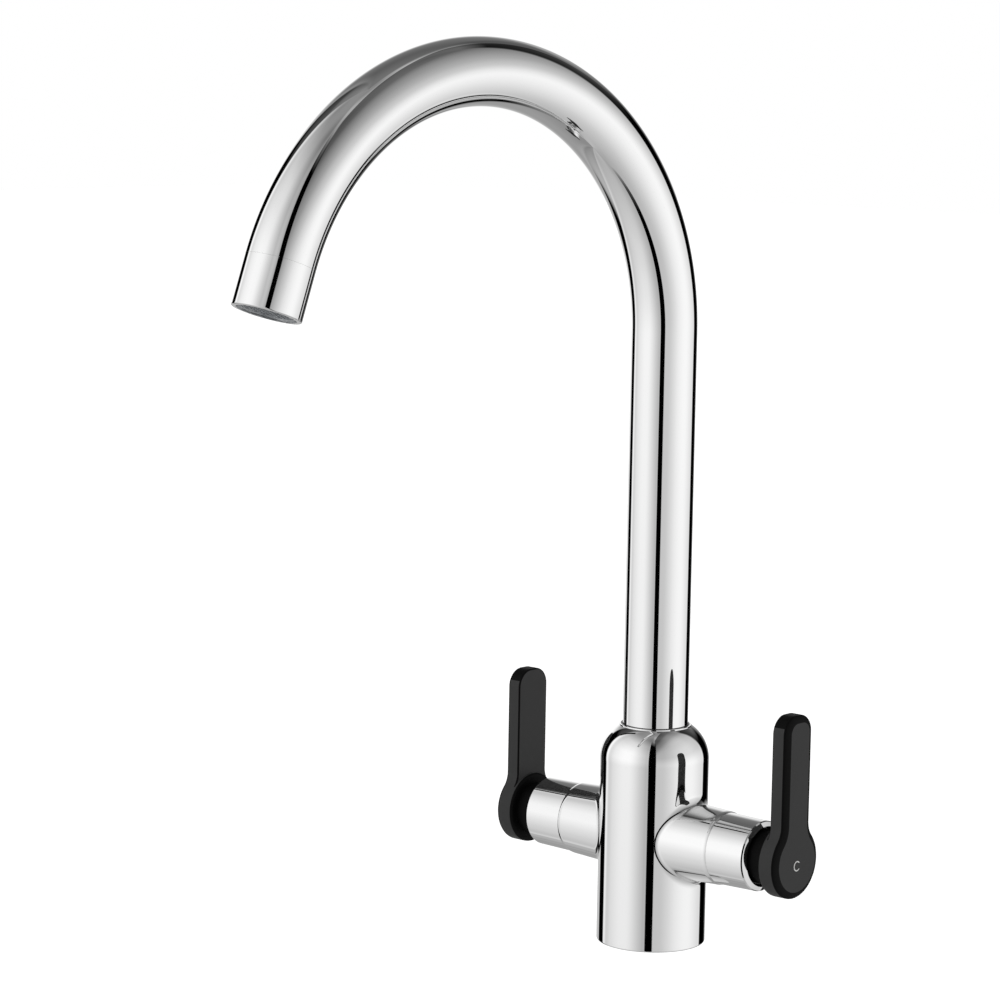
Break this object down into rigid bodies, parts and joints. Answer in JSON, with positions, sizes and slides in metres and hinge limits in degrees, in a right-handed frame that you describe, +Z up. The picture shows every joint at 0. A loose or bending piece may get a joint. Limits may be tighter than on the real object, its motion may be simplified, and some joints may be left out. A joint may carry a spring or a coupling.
{
  "type": "kitchen mixer tap",
  "caption": "Deck-mounted two-handle kitchen mixer tap with a swivelling swan-neck spout, side arms with black upright levers and quarter-turn ceramic valves.",
  "frame": {"origin": "centre of the body's round base, on the plane of the deck it stands on", "axes": "+Z up along the body, -Y towards the user and the basin, +X to the cold side, -X to the hot side"},
  "size_m": [0.1552, 0.2532, 0.3864],
  "materials": {
    "chrome_plate": "bright chrome plate on polished brass, mirror smooth",
    "black_lever": "matt black coated zinc casting",
    "bare_brass": "machined brass",
    "ceramic_disc": "lapped white alumina",
    "seal_rubber": "moulded black rubber",
    "glide_plastic": "moulded black acetal",
    "aerator_plastic": "moulded grey plastic",
    "steel": "plain stainless steel",
    "letter_paint": "light grey filling paint"
  },
  "bodies": {
    "tap": {"tap_body": "chrome_plate", "base_seal": "seal_rubber", "upper_glide_ring": "glide_plastic", "lower_glide_ring": "glide_plastic", "spout_keeping_screw": "steel", "hot_valve_housing": "bare_brass", "hot_seat_seal": "seal_rubber", "hot_fixed_disc": "ceramic_disc", "hot_sleeve": "chrome_plate", "cold_valve_housing": "bare_brass", "cold_seat_seal": "seal_rubber", "cold_fixed_disc": "ceramic_disc", "cold_sleeve": "chrome_plate"},
    "spout": {"spout_tube": "chrome_plate", "spout_spigot": "bare_brass", "spout_o_rings": "seal_rubber", "outlet_piece": "chrome_plate", "aerator_housing": "aerator_plastic", "aerator_grille": "aerator_plastic", "aerator_screens": "steel", "aerator_washer": "seal_rubber"},
    "hot_handle": {"hot_moving_disc": "ceramic_disc", "hot_spindle": "bare_brass", "hot_spindle_o_rings": "seal_rubber", "hot_spindle_clip": "steel", "hot_lever": "black_lever", "hot_spline_bush": "glide_plastic", "hot_lever_screw": "steel", "hot_letter": "letter_paint"},
    "cold_handle": {"cold_moving_disc": "ceramic_disc", "cold_spindle": "bare_brass", "cold_spindle_o_rings": "seal_rubber", "cold_spindle_clip": "steel", "cold_lever": "black_lever", "cold_spline_bush": "glide_plastic", "cold_lever_screw": "steel", "cold_letter": "letter_paint"}
  },
  "joints": [
    {"name": "spout_swivel", "type": "hinge", "parent": "tap", "child": "spout", "pos_m": [0, 0, 0.0952], "axis": [0, 0, 1], "continuous": true},
    {"name": "hot_lever_turn", "type": "hinge", "parent": "tap", "child": "hot_handle", "pos_m": [-0.0706, 0, 0.0471], "axis": [1, 0, 0], "range_deg": [0, 90]},
    {"name": "cold_lever_turn", "type": "hinge", "parent": "tap", "child": "cold_handle", "pos_m": [0.0706, 0, 0.0471], "axis": [1, 0, 0], "range_deg": [0, 90]}
  ]
}
